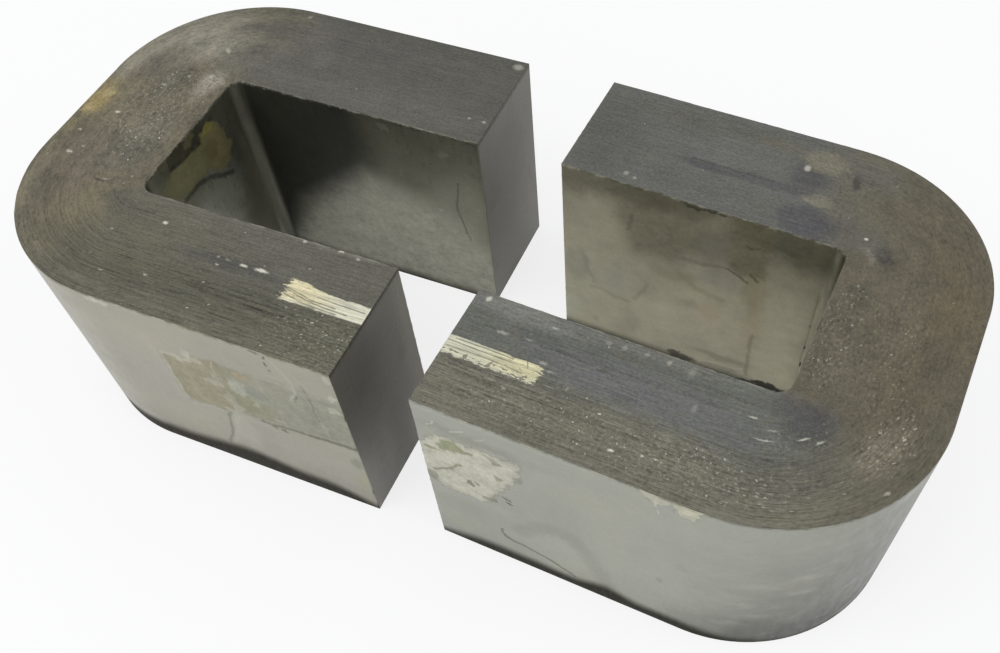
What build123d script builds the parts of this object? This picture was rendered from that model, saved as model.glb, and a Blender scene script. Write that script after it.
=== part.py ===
from build123d import *
from math import sin
import os

# Tape-wound cut core: one long ribbon of magnetic alloy wound on a rectangular
# mandrel, bonded with resin and sawn through both legs into two U-shaped halves.
# The halves stand on their ribbon edges, a little apart, one turned from the other.
# +X runs along the legs from the left half to the right half, +Y to the back leg,
# +Z up along the ribbon's width. The origin is under the middle of the pair.

# Winding, in millimetres
build_up = 19.0             # thickness of the stack of turns, in legs and yoke
window_width = 25.0         # clear width between the two legs
window_depth = 41.5         # clear depth of one half's window, from the cut to the yoke
ribbon_width = 35.0         # width of the ribbon, which is the core's height
inner_corner_radius = 2.0   # the innermost turn's bend round the mandrel's corner
outer_corner_radius = 22.6  # the outermost turn's bend, where the turns have relaxed

# Joints between groups of turns, open to the ribbon-edge faces
turn_joints = 10            # joints across the stack
joint_mouth = 0.40          # width of a joint at the ribbon edges
joint_depth = 0.22          # depth of its vee below them
joint_wander = 0.22         # how far a joint strays from even spacing
wander_phase = 2.4          # step of the wander from one joint to the next, in radians

# How the pair stands
air_gap = 12.2              # from one cut plane to the other, on the centre line
right_offset = 0.45         # right half's centre line, to the back of the left half's
right_turn = -2.7           # right half's turn about +Z, in degrees


def corner_radius(offset):
    """Bend of the turn that lies this far outside the innermost one."""
    share = offset / build_up
    return inner_corner_radius + (outer_corner_radius - inner_corner_radius) * share


def turn_block(offset):
    """Outline that this turn encloses, from the cut plane at x = 0 to the yoke."""
    depth = window_depth + offset
    with BuildSketch() as outline:
        with Locations((depth / 2, 0)):
            Rectangle(depth, window_width + 2 * offset)
        fillet(outline.vertices().group_by(Axis.X)[-1], corner_radius(offset))
    return outline.sketch


def turn_path(offset, overrun):
    """Line of this turn round the window, run on past the cut plane at both ends."""
    side = window_width / 2 + offset
    back = window_depth + offset
    corners = [(-overrun, -side), (back, -side), (back, side), (-overrun, side)]
    return FilletPolyline(*corners, radius=corner_radius(offset))


def joint_groove(index):
    """Vee groove that one joint leaves in the top ribbon edges."""
    even = build_up * (index + 1) / (turn_joints + 1)
    path = turn_path(even + joint_wander * sin(index * wander_phase), joint_mouth)
    # The vee's flanks run on above the ribbon edges, to leave no skin there
    top = 2 * joint_depth
    reach = joint_mouth / 2 * (joint_depth + top) / joint_depth
    section = Plane(origin=path @ 0 + Vector(0, 0, ribbon_width), x_dir=(0, 1, 0), z_dir=path % 0)
    with BuildSketch(section) as vee:
        with BuildLine():
            Polyline((-reach, top), (reach, top), (0, -joint_depth), close=True)
        make_face()
    return sweep(vee.sketch, Pos(0, 0, ribbon_width) * path)


def core_half():
    """One U-shaped half, with its cut plane at x = 0 and its yoke towards +X."""
    stack = extrude(turn_block(build_up) - turn_block(0), ribbon_width)
    top_grooves = [joint_groove(index) for index in range(turn_joints)]
    middle = Plane.XY.offset(ribbon_width / 2)
    return stack - top_grooves - [mirror(groove, middle) for groove in top_grooves]


half = core_half()
left_half = Rot(0, 0, 180) * half
right_half = Pos(air_gap, right_offset, 0) * Rot(0, 0, right_turn) * half

# The origin goes under the middle of the box that holds both halves
box = left_half.bounding_box().add(right_half.bounding_box())
to_origin = Pos(-(box.min.X + box.max.X) / 2, -(box.min.Y + box.max.Y) / 2, -box.min.Z)

os.makedirs("parts", exist_ok=True)
for name, solid in {"left_core_half": left_half, "right_core_half": right_half}.items():
    placed = to_origin * solid
    export_step(placed, os.path.join("parts", name + ".step"))
    size = placed.bounding_box().size
    print(name, f"{size.X:.2f} x {size.Y:.2f} x {size.Z:.2f} mm,", f"{placed.volume / 1000:.1f} cm3")
print("cut plane of the left half at x =", round(to_origin.position.X, 4))
print("centre line of the left half at y =", round(to_origin.position.Y, 4))
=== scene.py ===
import bpy
import bmesh
import math
from mathutils import Matrix, Quaternion, Vector, noise


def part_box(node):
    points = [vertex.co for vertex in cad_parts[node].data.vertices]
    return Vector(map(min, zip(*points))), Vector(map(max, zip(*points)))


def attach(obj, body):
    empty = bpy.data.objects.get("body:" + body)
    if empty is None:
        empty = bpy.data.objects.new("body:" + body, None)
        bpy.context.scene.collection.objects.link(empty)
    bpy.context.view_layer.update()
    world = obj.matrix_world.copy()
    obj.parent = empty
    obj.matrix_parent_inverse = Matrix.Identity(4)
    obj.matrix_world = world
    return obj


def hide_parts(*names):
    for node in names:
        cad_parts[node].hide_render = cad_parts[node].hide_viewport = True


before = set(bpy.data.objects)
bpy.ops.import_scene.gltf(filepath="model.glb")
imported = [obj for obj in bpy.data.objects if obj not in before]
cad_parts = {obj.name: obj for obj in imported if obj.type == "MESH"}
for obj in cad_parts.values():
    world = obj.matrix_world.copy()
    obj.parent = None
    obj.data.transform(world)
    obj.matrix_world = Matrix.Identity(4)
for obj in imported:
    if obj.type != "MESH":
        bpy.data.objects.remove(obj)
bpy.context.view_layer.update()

leftLow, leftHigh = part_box("left_core_half")
mm = 0.001
print("frame loaded")

# The winding in millimetres, as the two solids have it
winding = {
    "buildUp": 19.0, "windowWidth": 25.0, "windowDepth": 41.5, "ribbonWidth": 35.0,
    "innerRadius": 2.0, "outerRadius": 22.6,
    "joints": 10, "jointWander": 0.22, "wanderPhase": 2.4,
}
pair = {"airGap": 12.2, "rightOffset": 0.45, "rightTurn": -2.7}
cutPlane = Vector((leftHigh.x, (leftLow.y + leftHigh.y) / 2, leftLow.z))  # under the left half's cut faces


def cornerRadius(offset):
    share = offset / winding["buildUp"]
    return winding["innerRadius"] + (winding["outerRadius"] - winding["innerRadius"]) * share


def straights(offset):
    # straight lengths of one turn: a leg, and half of the yoke
    radius = cornerRadius(offset)
    return winding["windowDepth"] + offset - radius, winding["windowWidth"] / 2 + offset - radius


# A point on a half is named by its run along the turns from the front leg's cut face, its offset
# from the window and its height. These are the runs at which the middle turn bends.
middleTurn = winding["buildUp"] / 2
legRun, yokeRun = straights(middleTurn)
bendRun = cornerRadius(middleTurn) * math.pi / 2
fullRun = 2 * (legRun + bendRun + yokeRun)


def tone(red, green, blue):
    # a colour as it looks on screen, in the linear numbers that a shader takes
    return tuple(((value / 255 + 0.055) / 1.055) ** 2.4 for value in (red, green, blue))


# Shader maths: a Wire wraps one socket, and an expression on wires adds its nodes
class Wire:
    def __init__(self, finish, socket):
        self.finish = finish
        self.socket = socket

    def maths(self, operation, *values):
        return self.finish.node("ShaderNodeMath", {"operation": operation}, dict(enumerate(values)))

    def __add__(self, other):
        return self.maths("ADD", self, other)

    def __radd__(self, other):
        return self.maths("ADD", other, self)

    def __sub__(self, other):
        return self.maths("SUBTRACT", self, other)

    def __rsub__(self, other):
        return self.maths("SUBTRACT", other, self)

    def __mul__(self, other):
        return self.maths("MULTIPLY", self, other)

    def __rmul__(self, other):
        return self.maths("MULTIPLY", other, self)

    def smaller(self, other):
        return self.maths("MINIMUM", self, other)

    def larger(self, other):
        return self.maths("MAXIMUM", self, other)

    def size(self):
        return self.maths("ABSOLUTE", self)


class Finish:
    # one material, with its place on the winding and the few patterns that every surface shares
    def __init__(self, name, seed=0.0, across=None):
        self.material = bpy.data.materials.new(name)
        self.material.use_nodes = True
        self.tree = self.material.node_tree
        self.tree.nodes.clear()
        self.seed = seed
        if across:
            place = self.node("ShaderNodeAttribute", {"attribute_name": "turnPlace"}, {}, "Vector")
            self.run, self.offset, self.height = self.split(place)
            first = self.offset if across == "cut" else self.run
            self.plane = self.join(first, self.offset if across == "offset" else self.height, 0.0)

    def node(self, kind, settings, sockets, out=0):
        node = self.tree.nodes.new(kind)
        for name, value in settings.items():
            setattr(node, name, value)
        for name, value in sockets.items():
            if isinstance(value, Wire):
                self.tree.links.new(value.socket, node.inputs[name])
            else:
                node.inputs[name].default_value = value
        return Wire(self, node.outputs[out]) if out is not None else None

    def split(self, vector):
        outputs = self.node("ShaderNodeSeparateXYZ", {}, {0: vector}).socket.node.outputs
        return [Wire(self, outputs[axis]) for axis in range(3)]

    def join(self, x, y, z):
        return self.node("ShaderNodeCombineXYZ", {}, {0: x, 1: y, 2: z})

    def vector(self, operation, first, second, out="Vector"):
        return self.node("ShaderNodeVectorMath", {"operation": operation}, {0: first, 1: second}, out)

    def scaled(self, vector, factor):
        return self.node("ShaderNodeVectorMath", {"operation": "SCALE"}, {0: vector, "Scale": factor})

    def grain(self, scales, detail=2.0, rough=0.5, shift=0.0, out="Fac"):
        # noise with so many features to the millimetre, along and across the surface
        spread = self.vector("MULTIPLY", self.plane, (*scales, 0.0))
        spread = self.vector("ADD", spread, (self.seed * 7.3 + shift, shift * 2.1, self.seed + shift))
        return self.node("ShaderNodeTexNoise", {}, {
            "Vector": spread, "Scale": 1.0, "Detail": detail, "Roughness": rough}, out)

    def torn(self, reach, scale, shift=0.0):
        # the surface's own plane, pushed about so that shapes drawn on it get ragged outlines
        push = self.vector("SUBTRACT", self.grain((scale, scale), 4.0, 0.58, shift, "Color"), (0.5, 0.5, 0.5))
        return self.vector("ADD", self.plane, self.scaled(push, 2 * reach))

    def fade(self, value, start, end, low=0.0, high=1.0):
        # from low to high as the value goes from start to end
        return self.node("ShaderNodeMapRange", {"interpolation_type": "SMOOTHSTEP", "clamp": False}, {
            "Value": value, "From Min": start, "From Max": end, "To Min": low, "To Max": high})

    def mix(self, share, first, second):
        first = first if isinstance(first, Wire) else (*first, 1.0)
        second = second if isinstance(second, Wire) else (*second, 1.0)
        return self.node("ShaderNodeMix", {"data_type": "RGBA", "clamp_factor": True}, {
            0: share, 6: first, 7: second}, 2)

    def spot(self, plane, at, half):
        # 0 at the middle of a mark, 1 on its outline
        spread = self.vector("DIVIDE", self.vector("SUBTRACT", plane, (*at, 0.0)), (*half, 1.0))
        return self.node("ShaderNodeVectorMath", {"operation": "LENGTH"}, {0: spread}, "Value")

    def patch(self, plane, corners):
        # millimetres outside a convex outline, negative inside; its corners go round anticlockwise
        far = None
        for start, end in zip(corners, corners[1:] + corners[:1]):
            out = Vector((end[1] - start[1], start[0] - end[0], 0.0)).normalized()
            gap = self.vector("DOT_PRODUCT", plane, tuple(out), "Value") - out.dot((*start, 0.0))
            far = gap if far is None else far.larger(gap)
        return far

    def line(self, plane, points):
        # distance in millimetres from a line through the points
        nearest = None
        for start, end in zip(points, points[1:]):
            way = (end[0] - start[0], end[1] - start[1], 0.0)
            length = way[0] ** 2 + way[1] ** 2
            away = self.vector("SUBTRACT", plane, (*start, 0.0))
            share = (self.vector("DOT_PRODUCT", away, way, "Value") * (1 / length)).larger(0.0).smaller(1.0)
            gap = self.vector("DISTANCE", away, self.scaled(way, share), "Value")
            nearest = gap if nearest is None else nearest.smaller(gap)
        return nearest

    def stain(self, colour, plane, marks):
        # soft marks: place, half size, colour, share, softness
        for at, half, paint, share, soft in marks:
            shape = self.spot(plane, at, half)
            colour = self.mix(self.fade(shape, 1 + soft, 1 - soft, 0.0, share), colour, tone(*paint))
        return colour

    def glints(self, plane, cell, turn, size, share):
        # painted glints: slanting highlights in that share of the cells, how bright each is, and a ring of
        # painted shade round it
        spread = self.node("ShaderNodeMapping", {"vector_type": "TEXTURE"}, {
            "Vector": plane, "Rotation": (0.0, 0.0, turn), "Scale": (*cell, 1.0)})
        cells = self.node("ShaderNodeTexVoronoi", {"voronoi_dimensions": "2D"}, {
            "Vector": spread, "Scale": 1.0})
        red, green, blue = self.split(Wire(self, cells.socket.node.outputs["Color"]))
        chosen = self.fade(red - share, -0.02, 0.02, 1.0, 0.0)
        strong = green * green * green * 0.9 + 0.1
        return self.fade(cells, size, size * 0.4) * chosen * strong, self.fade(cells, size * 2, size) * chosen

    def close(self, colour, roughness, metallic, relief, depth):
        bump = self.node("ShaderNodeBump", {}, {"Strength": 1.0, "Distance": depth * mm, "Height": relief})
        shader = self.node("ShaderNodeBsdfPrincipled", {}, {
            "Base Color": colour, "Roughness": roughness, "Metallic": metallic, "Normal": bump})
        self.node("ShaderNodeOutputMaterial", {}, {"Surface": shader}, None)
        return self.material


# Ribbon edges: what the top and the underside show of the wound tape.
# A mark is its place (run, offset), half size, colour, share and softness; a fleck has no colour: it is a
# pale spot or a painted glint, drawn in the glints' colour. A sparkle is where the grain is roughest and
# painted glints stand thickest, and the cell is what one painted glint has to itself.
# The scores are lines worn along the turns, the splits are cracks in the paint, and uneven says how
# blotchy the yoke is.
leftTop = {
    "seed": 3,
    "legInner": (95, 93, 83), "legOuter": (87, 85, 71), "yoke": (105, 98, 79), "backLeg": (88, 86, 79),
    "marks": [
        ((4, 15.5), (8, 4.5), (101, 100, 84), 0.6, 0.6),          # paler field at the cut
        ((20, 18.2), (26, 1.9), (108, 105, 90), 0.6, 0.6),        # paler outermost turns
        ((37, 6), (13, 6), (102, 98, 79), 0.6, 0.8),
        ((52, 17.4), (8, 1.8), (120, 113, 94), 0.5, 0.7),
        ((50, 9), (6, 4.2), (117, 109, 85), 0.6, 0.6),            # tan bloom on the front bend
        ((47, 15.4), (3.2, 2.4), (106, 99, 77), 0.5, 0.6),
        ((57.5, 11), (6, 4), (106, 97, 86), 0.6, 0.6),            # brown cloud before the yoke
        ((53, 15.2), (2.6, 1.6), (88, 82, 68), 0.6, 0.6),
        ((54.1, 6.2), (0.3, 1.4), (62, 58, 50), 0.9, 0.4),        # dark nick
        ((64, 6), (6, 4), (98, 96, 88), 0.5, 0.7),
        ((70.5, 9.5), (6.5, 5.5), (122, 115, 95), 0.5, 0.7),
        ((80, 17.4), (6, 2), (148, 143, 126), 0.6, 0.7),
        ((69.3, 17.2), (3, 1.9), (160, 142, 92), 0.8, 0.7),       # yellow resin at the outer edge
        ((66.8, 17.5), (1.2, 0.8), (192, 174, 124), 0.65, 0.6),
        ((71.4, 16.5), (1, 0.9), (184, 168, 122), 0.6, 0.6),
        ((73, 17.6), (2, 1.4), (134, 122, 86), 0.6, 0.7),
        ((63, 17.8), (2, 1.2), (124, 114, 82), 0.4, 0.7),
        ((80, 3), (4.8, 1.7), (158, 151, 136), 0.85, 0.6),        # rubbed bright by the window's corner
        ((86.5, 13), (5, 6.5), (141, 136, 122), 0.8, 0.7),
        ((79, 12), (2.6, 4.5), (104, 97, 88), 0.5, 0.6),
        ((76, 9), (3, 2.5), (86, 83, 74), 0.5, 0.6),
        ((94.5, 13.6), (4, 1.8), (82, 80, 74), 0.6, 0.6),
        ((94, 5), (7, 5), (94, 94, 91), 0.5, 0.7),
        ((116, 18), (24, 2), (78, 77, 70), 0.6, 0.7),             # dark outermost turns
        ((114, 12.6), (18, 2.6), (84, 82, 76), 0.6, 0.7),         # dark band along the back leg
        ((100, 13), (3, 2.4), (104, 99, 92), 0.5, 0.6),
        ((104.6, 8.6), (1.6, 2.4), (108, 108, 102), 0.4, 0.8),
        ((118, 3.4), (16, 2.4), (102, 101, 95), 0.5, 0.8),
        ((21.5, 7.6), (8, 1), (76, 75, 71), 0.75, 0.6),           # dark drag behind the paint
        ((44, 4), (8, 1.6), (82, 79, 71), 0.5, 0.7),
        ((8, 0.3), (6, 0.5), (122, 120, 106), 0.4, 0.6),
    ],
    "flecks": [
        ((16.8, 7.05), (1.2, 0.34), 1), ((19.5, 7.15), (0.75, 0.28), 0.9), ((22.1, 7), (0.5, 0.2), 0.25),
        ((23.6, 6.9), (0.35, 0.25), 0.35), ((23.1, 8.2), (0.35, 0.18), 0.6),
        ((33.8, 4.2), (0.46, 0.32), 0.95), ((31.6, 13.2), (0.4, 0.24), 0.45),
        ((40.8, 8), (0.35, 0.25), 0.35), ((38, 14.6), (0.5, 0.14), 0.4), ((5.6, 0.7), (0.35, 0.22), 0.5),
        ((8.3, 0.3), (0.5, 0.25), 0.9), ((13.8, 0.4), (0.3, 0.3), 0.6), ((54.3, 6.2), (0.3, 0.9), 0.3),
        ((56.9, 2.5), (0.6, 0.25), 0.35), ((53.2, 3.2), (0.45, 0.2), 0.3), ((88, 8.3), (0.5, 0.8), 0.4),
        ((134.2, 17.5), (1, 0.8), 0.4), ((97, 17.4), (0.4, 0.4), 0.25), ((67.8, 12.7), (0.35, 0.5), 0.8),
        ((62.3, 15.8), (0.3, 0.4), 0.5), ((57.8, 14.4), (0.25, 0.6), 0.7), ((81, 3.9), (1, 0.4), 0.4),
        ((78.6, 7), (0.5, 0.35), 0.4), ((132, 4.5), (0.3, 0.3), 0.35), ((134.4, 4.5), (0.35, 0.3), 0.5),
        ((59.4, 13.1), (0.2, 0.3), 0.5), ((75.5, 9.6), (0.3, 0.5), 0.4),
    ],
    "scores": [
        [(53, 4.6), (53.5, 6), (54, 7.2)], [(9, 12), (15, 12.1), (27, 12)],
        [(9, 12.8), (14, 12.8), (25, 12.7)], [(11, 13.1), (24, 13)], [(12, 11.2), (24, 11.4), (38, 11.4)],
        [(16, 15.8), (20, 15.7)], [(36, 3.2), (44, 3.9), (52, 4.6)],
    ],
    "cell": (1.4, 0.68), "uneven": 0.9,
    "sparkle": [((4.5, 14.6), (7.5, 4.6), 1), ((70, 7.6), (11, 6), 0.9),
                ((24, 16), (16, 4), 0.15), ((80.4, 3.4), (3.6, 2.2), 1)],
    "paint": {
        "end": 12.2, "inner": 7.5, "outer": 10.35, "flare": 0.85, "row": 0,
        "cream": (224, 214, 176), "white": (222, 220, 198),
        "splits": [
            [(2.5, 9.75), (6, 9.65), (9, 9.3), (12.4, 8.45)], [(4.5, 9.25), (8, 9.15), (12, 8.3)],
            [(4, 10.1), (9, 9.95), (12, 9.35)], [(0.5, 8.55), (4, 8.5), (7.5, 8.35)],
            [(7, 10.3), (10, 10.35)],
        ],
    },
}
rightTop = {
    "seed": 23,
    "legInner": (98, 99, 92), "legOuter": (110, 107, 93), "yoke": (95, 89, 73), "backLeg": (97, 97, 91),
    "marks": [
        ((24, 6.6), (13, 2.6), (104, 104, 104), 0.7, 0.7),        # painted bluish sheen down the leg, lighter where the light glances off
        ((40, 9), (8, 2), (98, 99, 96), 0.5, 0.7),
        ((14, 4.2), (8, 1.2), (88, 89, 84), 0.5, 0.7),
        ((16, 10.4), (3, 0.5), (84, 82, 74), 0.5, 0.6),
        ((7, 1.4), (9, 1.3), (128, 128, 122), 0.6, 0.6),
        ((45, 2), (5, 1.6), (80, 80, 78), 0.6, 0.6),
        ((49.4, 5.4), (4.8, 2.8), (72, 72, 73), 0.8, 0.55),       # dark patch at the front bend
        ((52.2, 1.6), (1.2, 0.6), (112, 112, 106), 0.5, 0.6),
        ((44, 12), (6, 3), (86, 85, 76), 0.5, 0.7),
        ((53.5, 13.6), (3.6, 2.2), (126, 118, 103), 0.65, 0.6),   # pale fibres
        ((71, 13.5), (14, 6), (97, 88, 66), 0.7, 0.6),            # brown yoke
        ((60, 17.6), (10, 1.6), (86, 82, 68), 0.5, 0.7),
        ((66, 14.6), (5, 2), (84, 78, 66), 0.5, 0.7),
        ((73, 9.6), (9, 2.6), (100, 94, 78), 0.5, 0.7),
        ((63, 5), (5, 3), (101, 95, 80), 0.5, 0.7),
        ((83.2, 5.2), (2.6, 1.2), (62, 59, 56), 0.9, 0.4),        # dark eye by the window's corner
        ((83.2, 3.4), (3.4, 0.45), (126, 122, 114), 0.6, 0.5),
        ((91, 4), (7, 3.4), (97, 95, 89), 0.6, 0.6),
        ((98, 3), (1.6, 3.2), (84, 82, 80), 0.6, 0.3),
        ((101.5, 2.8), (3.6, 2.9), (78, 77, 80), 0.85, 0.25),     # grey film's end on the back leg
        ((100.4, 7.2), (2.2, 1.1), (122, 118, 101), 0.9, 0.2),
        ((110.5, 7.7), (9.5, 0.9), (76, 75, 77), 0.65, 0.55),     # dark band of the back leg
        ((117, 7.6), (2.6, 0.9), (72, 71, 74), 0.6, 0.5),
        ((102.6, 10.8), (2.6, 2.6), (76, 75, 75), 0.8, 0.4),
        ((101, 14.6), (3.2, 2.2), (126, 120, 102), 0.8, 0.35),
        ((98, 8), (1.4, 4), (104, 99, 85), 0.5, 0.5),
        ((108, 15.6), (3, 0.9), (112, 107, 88), 0.6, 0.5),
        ((120, 16), (16, 2.2), (90, 88, 80), 0.5, 0.7),
        ((113, 11), (7, 2.6), (104, 104, 98), 0.5, 0.7),
        ((96.3, 12.6), (0.45, 1.7), (66, 62, 54), 0.9, 0.4),
        ((90, 8), (5, 3), (103, 97, 80), 0.5, 0.7),
        ((94.5, 14.5), (2.6, 2.4), (96, 94, 86), 0.6, 0.6),
        ((132.5, 8), (5, 8), (82, 82, 76), 0.6, 0.7),
        ((25, 1), (8, 0.6), (118, 117, 108), 0.5, 0.6),           # rubbed inner edge
    ],
    "flecks": [
        ((1.9, 1), (0.45, 0.5), 0.8), ((22.1, 11.5), (0.28, 0.16), 1), ((25.6, 15.6), (0.42, 0.24), 1),
        ((21.6, 16.4), (0.22, 0.14), 0.7), ((29.2, 14.8), (0.24, 0.15), 0.9),
        ((30.8, 14.6), (0.24, 0.16), 0.7), ((6, 5.2), (1, 0.3), 0.4), ((12.6, 7.4), (0.7, 0.3), 0.35),
        ((31.8, 6.2), (0.4, 0.8), 0.18), ((41.2, 7.3), (1.8, 0.14), 0.5), ((42.2, 5.8), (1.2, 0.14), 0.3),
        ((47, 7.3), (1.2, 0.16), 0.6), ((48.8, 8.3), (0.7, 0.2), 0.6), ((89, 4.1), (0.55, 0.24), 0.95),
        ((103.3, 12.5), (0.55, 0.7), 0.6), ((125, 1.5), (0.35, 0.35), 0.35),
        ((126.4, 1.9), (0.4, 0.4), 0.3), ((26.4, 1.2), (0.3, 0.5), 0.3), ((18.5, 1.3), (0.5, 0.4), 0.2),
        ((20.6, 1.2), (0.4, 0.5), 0.2), ((23.5, 1.1), (0.5, 0.35), 0.2), ((11.6, 1.9), (0.5, 0.25), 0.5),
        ((50.8, 17.7), (0.3, 0.3), 0.4), ((29.4, 1.4), (0.6, 1), 0.15), ((38.4, 4.6), (0.7, 0.2), 0.6),
        ((10, 12.8), (0.4, 0.3), 0.3), ((15, 10.3), (1, 0.12), 0.3), ((14, 8.3), (0.9, 0.12), 0.3),
        ((17, 9.7), (0.2, 0.4), 0.25), ((9.4, 4.9), (0.8, 0.16), 0.25),
    ],
    "scores": [
        [(11.2, 5.2), (14, 5.1), (17.4, 5.3)], [(19, 5.6), (23, 5.7)],
        [(0.5, 11.4), (8, 11.6), (22, 12.1)], [(0.5, 12.6), (9, 12.9), (19, 12.9)],
        [(2, 12.1), (7, 12.2)], [(98, 9.4), (98.2, 11)], [(107, 8.2), (119.5, 8.3)],
    ],
    "cell": (1.2, 0.56), "uneven": 0.5,
    "sparkle": [((15, 14.4), (12, 3.2), 0.7), ((36, 14), (12, 3.6), 0.9),
                ((54.5, 13.6), (4, 3.2), 1), ((46, 7.4), (5, 1.6), 0.7),
                ((66, 2.8), (9, 2.6), 0.9), ((60, 10.5), (4, 3), 0.6),
                ((68, 9), (9, 4), 0.5)],
    "paint": {
        "end": 12.9, "inner": 8, "outer": 10.85, "flare": 0, "row": 0.8,
        "cream": (214, 208, 170), "white": (214, 212, 188),
        "splits": [
            [(0.4, 9.7), (4, 9.6), (8, 9.65), (11, 9.9)], [(1, 8.3), (6, 8.25), (9, 8.35)],
            [(0.2, 8.8), (6, 8.9), (10, 8.9)], [(9.4, 10.6), (11, 11.3), (12.4, 11.6)],
            [(6.3, 10.8), (6.9, 9.8)], [(10.8, 8), (11.3, 8.9)],
        ],
    },
}
# A layer of noise is its features to the millimetre (along, across), detail, roughness and shift.
brushed = {
    "turns": [((0.02, 1.1), 2.0, 0.6, 1.0, 0.35), ((0.11, 3.6), 2.0, 0.6, 2.0, 0.7),
              ((0.32, 7.0), 2.0, 0.6, 3.0, 0.9)],                       # each with its weight
    "blotches": [((0.22, 0.3), 4.0, 0.62, 5.0, 0.45), ((0.9, 1.1), 3.0, 0.7, 7.0, 0.35)],
    "speck": ((2.2, 2.6), 3.0, 0.75, 6.0), "speckle": 1.5,
    "torn": (1.0, 0.4), "crisp": (0.32, 2.2, 4.0),                      # how outlines wander
    "hue": ((0.5, 0.8), 4.0, 0.65, 13.0),
    "warm": (108, 99, 80), "warmHues": (0.50, 0.70, 0.0, 0.28),         # from, to, low and high share
    "cool": (87, 90, 86), "coolHues": (0.46, 0.30, 0.0, 0.15),
    "scored": (0.3, 0.12, 0.0, 0.3), "split": (0.02, 0.17, 0.3, 1.0),   # across a score and a split
    "crust": ((1.7, 2.4), 2.0, 0.7, 14.0), "gathered": ((0.3, 0.4), 2.0, 0.5, 8.0),
    # the colour of the painted glints and pale flecks, and the slant and size of one painted glint
    "resin": (208, 205, 190), "glintTurn": 0.7, "glintSize": 0.22,
    "worn": ((0.4, 1.2), 3.0, 0.7, 15.0), "rimWidth": 0.45,             # the window's edge
    "rubbed": (158, 155, 142), "rubbedWear": (0.47, 0.56, 0.0, 0.5),
    "chipped": (42, 40, 34), "chippedWear": (0.43, 0.37, 0.0, 0.55),
    "ragged": ((0.5, 2.2), 3.0, 0.7, 9.0),                              # the paint's outline
    "blotch": ((1.1, 2.2), 3.0, 0.65, 12.0),
    "stained": (146, 134, 96), "stainedBlotch": (0.54, 0.62, 0.0, 0.5),
    "thin": ((0.16, 3.6), 3.0, 0.65, 10.0),                             # its brush marks
    "yokeStart": (40.0, 56.0), "yokeEnd": (104.0, 90.0),                # runs over which the ground changes
    "backStart": (88.0, 102.0), "outerTurns": (7.5, 12.5),
    "sparse": 0.04,                                                     # painted glints and rough grain where nothing sparkles
    "dull": (-0.1, 0.4, 0.68, 0.5), "metal": 0.25, "relief": 0.07,
}


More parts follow.
